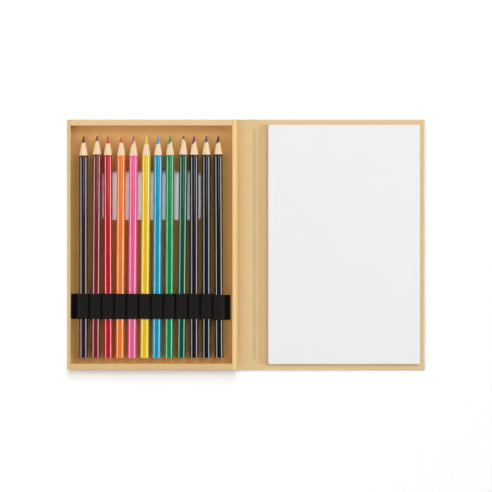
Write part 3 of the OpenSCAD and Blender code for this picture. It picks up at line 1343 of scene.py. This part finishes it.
@dataclass(frozen=True)
class PencilLook:
    """The two colours of one pencil, and the radius of its worn point."""

    lacquer: str
    pigment: str
    point_radius: float = 0.55 * MM


PENCIL_LOOKS = (
    PencilLook("33191a", "5a3a2c"), PencilLook("7a2026", "8a3f38"),
    PencilLook("c01024", "c85046"), PencilLook("ec7c28", "d25f41", 0.75 * MM),
    PencilLook("ea5f97", "be5a73"), PencilLook("eac41c", "e1c850"),
    PencilLook("0398bf", "64a0cd"), PencilLook("008a4c", "3c9141"),
    PencilLook("035239", "3b4a2c"), PencilLook("1b1222", "64405f"),
    PencilLook("12171e", "505069"), PencilLook("121212", "463214"))


@dataclass
class Pencil:
    """One round pencil: lacquer coat, wooden casing and coloured core."""

    number: int
    look: PencilLook
    steps: int = 72
    end_bevel: float = 0.3 * MM
    coat_round: float = 0.06 * MM
    front_ring: float = 1.5 * MM
    front_depth: float = 0.1 * MM  # how much of the coat's front wavers
    wobble: float = 0.07 * MM
    wobble_waves: tuple[int, ...] = (2, 3, 5, 7)
    body: str = field(init=False)

    def __post_init__(self) -> None:
        """Takes the pencil's place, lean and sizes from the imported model."""
        self.body = f"pencil_{self.number:02d}"
        joint = next(j for j in frame["joints"] if j["child"] == self.body)
        self.axis = Vector(joint["axis"]).normalized()
        self.lean = math.atan2(self.axis.x, self.axis.y)
        coat_box, wood_box, core_box = (box_of(f"{self.body}_{part}")
                                        for part in ("lacquer", "casing", "core"))
        self.radius = (coat_box[1].z - coat_box[0].z) / 2
        self.coat = self.radius - (wood_box[1].z - wood_box[0].z) / 2
        self.core_radius = (core_box[1].z - core_box[0].z) / 2
        tilt = abs(math.sin(self.lean))
        end_y = wood_box[0].y + (self.radius - self.end_bevel) * tilt
        self.end = Vector((self.end_x(coat_box, self.radius), end_y,
                           (coat_box[0].z + coat_box[1].z) / 2))
        self.core_right = self.end_x(core_box, self.core_radius) - self.end.x
        self.core_up = (core_box[0].z + core_box[1].z) / 2 - self.end.z
        self.length = (core_box[1].y - end_y) / math.cos(self.lean)
        tip = self.look.point_radius
        coat_end = (coat_box[1].y - end_y - (self.radius - self.coat) * tilt)
        taper = self.coat / (self.radius - tip)
        self.cone = (self.length - coat_end - tip * taper) / (1 - taper)
        self.matrix = Matrix.Translation(self.end) @ Matrix.Rotation(-self.lean, 4, "Z")

    def end_x(self, box: tuple[Vector, Vector], radius: float) -> float:
        """The X of a leaning rod's middle at its cut end.

        Args:
            box: the rod's box.
            radius: its radius.

        Returns:
            The place along X.
        """
        reach = radius * math.cos(self.lean)
        return box[0].x + reach if self.lean >= 0 else box[1].x - reach

    def along_cone(self, radius: float) -> float:
        """How far from the cut end the sharpened cone has a radius.

        Args:
            radius: the radius.

        Returns:
            The distance along the pencil.
        """
        tip = self.look.point_radius
        slope = (self.cone - tip) / (self.radius - tip)
        return self.length - self.cone + (self.radius - radius) * slope

    def core_edge(self, angle: float) -> float:
        """The distance from the pencil's middle line to the off-centre core's edge.

        Args:
            angle: the direction from the middle line, in radians.

        Returns:
            The distance.
        """
        right, up = math.cos(angle), math.sin(angle)
        along = self.core_right * right + self.core_up * up
        across = self.core_up * right - self.core_right * up
        return along + math.sqrt(self.core_radius ** 2 - across ** 2)

    def build(self) -> None:
        """Builds the coat, the wood and the core."""
        self.add(self.coat_mesh(), "coat", "lacquer", self.body + "_lacquer",
                 PAINTS.get(Lacquer(self.body + "_lacquer", self.look.lacquer)))
        self.add(self.wood_mesh(), "wood", "casing", "pencil_wood", PAINTS.get(Tone.WOOD))
        self.add(self.core_mesh(), "lead", "core", self.body + "_pigment",
                 PAINTS.get(Pigment(self.body + "_pigment", self.look.pigment)))

    def add(self, bm: bmesh.types.BMesh, name: str, node: str, slot: str,
            finish: bpy.types.Material) -> None:
        """Puts one of the pencil's meshes in its place.

        Args:
            bm: the mesh, with the pencil along Y from its cut end.
            name: the piece's name after the pencil's.
            node: the node that it stands for.
            slot: its material slot.
            finish: its material.
        """
        bmesh.ops.transform(bm, matrix=self.matrix, verts=bm.verts[:])
        piece = add_piece(f"{self.body}_{name}", bm, finish, sharp=25)
        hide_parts(f"{self.body}_{node}")
        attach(piece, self.body)

    def coat_mesh(self) -> bmesh.types.BMesh:
        """The lacquer: a thin tube whose front edge wavers where the sharpener cut it.

        Returns:
            The mesh, along Y from the cut end.
        """
        r, inner = self.radius, self.radius - self.coat
        front, front_inner = self.along_cone(r), self.along_cone(inner)
        end = self.end_bevel
        bm = spin_profile([(inner, end - self.coat), (r - self.coat_round, end),
                           (r, end + self.coat_round), (r, front - self.front_ring),
                           (r, front), (inner, front_inner)], self.steps)
        draw = random.Random(self.number)
        waves = [(k, draw.uniform(-1, 1) / k, draw.uniform(0, math.tau))
                 for k in self.wobble_waves]
        for vert in bm.verts:
            if vert.co.y > front - self.front_depth:
                angle = math.atan2(vert.co.z, vert.co.x)
                vert.co.y += self.wobble * sum(a * math.sin(k * angle + b) for k, a, b in waves)
        return bm

    def wood_mesh(self) -> bmesh.types.BMesh:
        """The casing: a tube with its cone, cut back on a slant where the core is off centre.

        Returns:
            The mesh, along Y from the cut end.
        """
        outer, core = self.radius - self.coat, self.core_radius
        bm = spin_profile([(core, 0), (self.radius - self.end_bevel, 0),
                           (outer, self.end_bevel - self.coat), (outer, self.along_cone(outer)),
                           ((outer + core) / 2, self.along_cone((outer + core) / 2)),
                           (core, self.along_cone(core))], self.steps)
        self.set_core_edge(bm)
        return bm

    def core_mesh(self) -> bmesh.types.BMesh:
        """The core: a rod that runs out in the worn point of the cone.

        Returns:
            The mesh, along Y from the cut end.
        """
        core, tip = self.core_radius, self.look.point_radius
        cap = [(tip * math.cos(math.radians(a)),
                self.length - tip + tip * math.sin(math.radians(a))) for a in (30, 60)]
        bm = spin_profile([(0, 0), (core, 0), (core, self.along_cone(core)),
                           (tip, self.along_cone(tip)), *cap, (0, self.length)], self.steps)
        self.set_core_edge(bm)
        return bm

    def set_core_edge(self, bm: bmesh.types.BMesh) -> None:
        """Moves a centred core's edge to where the off-centre core meets the cone.

        Args:
            bm: the wood's or the core's mesh.
        """
        for vert in bm.verts:
            radius = math.hypot(vert.co.x, vert.co.z)
            if abs(radius - self.core_radius) > SAME:
                continue
            angle = math.atan2(vert.co.z, vert.co.x)
            edge = self.core_edge(angle)
            vert.co.x, vert.co.z = edge * math.cos(angle), edge * math.sin(angle)
            if vert.co.y > self.length / 2:
                vert.co.y = self.along_cone(edge)


# ---- The studio ----


@dataclass(frozen=True)
class Softbox:
    """A rectangular lamp of even brightness."""

    name: str
    place: Vector
    size: tuple[float, float]
    level: float
    for_floor: bool = False
    points_down: bool = False

    @classmethod
    def in_ring(cls, name: str, azimuth: float, heights: tuple[float, float], half: float,
                level: float, far: float = 1.8, for_floor: bool = False) -> "Softbox":
        """A lamp in the ring round the box, which looks at the middle of the box.

        Args:
            name: the lamp's name.
            azimuth: its direction in degrees, from +X towards +Y.
            heights: the elevations of its lower and its upper edge, in degrees.
            half: half of its width, in degrees.
            level: its brightness.
            far: how far away it is.
            for_floor: whether it lights the floor and not the box.

        Returns:
            The lamp.
        """
        middle, way = math.radians(sum(heights) / 2), math.radians(azimuth)
        outwards = Vector((math.cos(way), math.sin(way), 0)) * math.cos(middle)
        width = 2 * far * math.cos(middle) * math.tan(math.radians(half))
        tall = 2 * far * math.tan(math.radians(heights[1] - heights[0]) / 2)
        place = (outwards + Vector((0, 0, math.sin(middle)))) * far
        return cls(name, place, (width, tall), level, for_floor)

    def build(self, lit: bpy.types.Collection) -> None:
        """Adds the lamp.

        Args:
            lit: says whether the lamp lights the floor alone, or all but the floor.
        """
        data = bpy.data.lights.new(self.name, "AREA")
        data.shape = "RECTANGLE"
        data.size, data.size_y = self.size
        data.energy = self.size[0] * self.size[1] * math.pi * self.level
        lamp = bpy.data.objects.new(self.name, data)
        lamp.location = self.place
        if not self.points_down:
            lamp.rotation_euler = (-self.place).to_track_quat("-Z", "Y").to_euler()
        lamp.light_linking.receiver_collection = lit
        bpy.context.scene.collection.objects.link(lamp)


class Studio:
    """The camera, the lamps, the floor and the backdrop."""

    height: float = 1.5
    focal_pixels: float = 1875.0
    sensor: float = 36.0
    camera_place: tuple[float, float] = (0.36 * MM, -1.08 * MM)
    world_level: float = 0.055
    floor_radius: float = 6.0
    floor_sides: int = 96
    floor_drop: float = 0.1 * MM
    floor_tone: Colour = (0.86, 0.86, 0.86)
    backdrop_height: float = 3.0
    cove: float = 2.2
    cove_steps: int = 16
    glow_near: float = 0.03
    glow_far: float = 0.45
    glow_edge: float = 2.0
    glow_softness: float = 2.6
    softboxes: tuple[Softbox, ...] = (
        Softbox.in_ring("key_head_right", 45, (30, 55), 22, 5.7),
        Softbox.in_ring("fill_foot_left", 225, (30, 55), 22, 3.3),
        Softbox.in_ring("fill_head_left", 135, (30, 55), 22, 1.9),
        Softbox.in_ring("strip_left", 180, (12, 35), 9, 5.4),
        Softbox.in_ring("strip_right", 0, (11, 34), 9, 7.6),
        Softbox("top_head", Vector((0.3, 0.3, 1.8)), (0.4, 0.45), 4.4, points_down=True),
        Softbox.in_ring("floor_left", 180, (26, 75), 25, 4.65, far=4.5, for_floor=True),
        Softbox.in_ring("floor_head", 90, (32, 80), 25, 5.0, far=4.5, for_floor=True))

    def build(self) -> None:
        """Builds all of it. The box and the floor have lamps of their own."""
        self.camera()
        self.world()
        floor = self.stage()
        lit = {True: self.link_group(floor, "INCLUDE"), False: self.link_group(floor, "EXCLUDE")}
        for softbox in self.softboxes:
            softbox.build(lit[softbox.for_floor])
        bpy.context.scene.view_settings.view_transform = "Standard"

    def link_group(self, floor: bpy.types.Object, state: str) -> bpy.types.Collection:
        """Makes the collection that says what a lamp lights.

        Args:
            floor: the floor.
            state: INCLUDE for the floor alone, EXCLUDE for all but the floor.

        Returns:
            The collection.
        """
        group = bpy.data.collections.new("floor_" + state.lower())
        group.objects.link(floor)
        group.collection_objects[0].light_linking.link_state = state
        return group

    def camera(self) -> None:
        """Adds the camera, straight above the box."""
        data = bpy.data.cameras.new("camera")
        data.sensor_width = self.sensor
        data.lens = self.sensor * self.focal_pixels / PHOTO_PIXELS
        data.clip_end = 100
        camera = bpy.data.objects.new("camera", data)
        camera.location = (*self.camera_place, self.height)
        bpy.context.scene.collection.objects.link(camera)
        bpy.context.scene.camera = camera

    def world(self) -> None:
        """Sets an even dim surrounding light."""
        world = bpy.data.worlds.new("studio")
        world.use_nodes = True
        background = world.node_tree.nodes["Background"]
        background.inputs["Color"].default_value = (1, 1, 1, 1)
        background.inputs["Strength"].default_value = self.world_level
        bpy.context.scene.world = world

    def stage(self) -> bpy.types.Object:
        """Adds the white floor, which turns up into a round backdrop far away.

        Returns:
            The floor.
        """
        bm = bmesh.new()
        bmesh.ops.create_circle(bm, cap_ends=True, segments=self.floor_sides,
                                radius=self.floor_radius,
                                matrix=Matrix.Translation((0, 0, -self.floor_drop)))
        rim = [e for e in bm.edges if e.is_boundary]
        wall = bmesh.ops.extrude_edge_only(bm, edges=rim)["geom"]
        for vert in (v for v in wall if isinstance(v, bmesh.types.BMVert)):
            vert.co.z = self.backdrop_height
        bevel(bm, rim, self.cove, segments=self.cove_steps)
        mesh = bpy.data.meshes.new("floor")
        bm.to_mesh(mesh)
        bm.free()
        mesh.shade_smooth()
        mesh.materials.append(self.floor_finish())
        floor = bpy.data.objects.new("floor", mesh)
        bpy.context.scene.collection.objects.link(floor)
        floor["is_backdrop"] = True
        return floor

    def floor_finish(self) -> bpy.types.Material:
        """White paper that keeps the shadow round the box, and glows far away from it.

        Returns:
            The material.
        """
        g = Graph("floor_paper")
        path = g.node("LightPath", output="Is Camera Ray")
        glossy = g.node("LightPath", output="Is Glossy Ray")
        through = g.node("LightPath", output="Is Transmission Ray")
        seen = path.math("MAXIMUM", glossy).math("MAXIMUM", through)
        from_middle = g.node("VectorMath", {"operation": "LENGTH"}, {0: g.place()}, "Value")
        far = from_middle.above(self.glow_edge, self.glow_softness)
        glow = seen * (self.glow_near + far * self.glow_far)
        return g.finish(Base_Color=self.floor_tone, Roughness=1.0, Specular_IOR_Level=0.0,
                        Emission_Color=g.mix(glow, (0, 0, 0), (1, 1, 1)), Emission_Strength=1.0)


def main() -> None:
    """Builds the studio and the box."""
    Studio().build()
    pencils = [Pencil(i + 1, look) for i, look in enumerate(PENCIL_LOOKS)]
    Case().build()
    Tray().build()
    Elastic().build()
    Pad().build()
    for pencil in pencils:
        pencil.build()
    bpy.context.view_layer.update()
    sizes = {name: [list(corner) for corner in box]
             for name, box in (("cad", CAD_BOX), ("scene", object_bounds()))}


if __name__ == "__main__":
    logging.basicConfig(level=logging.INFO, format="%(message)s")
    main()
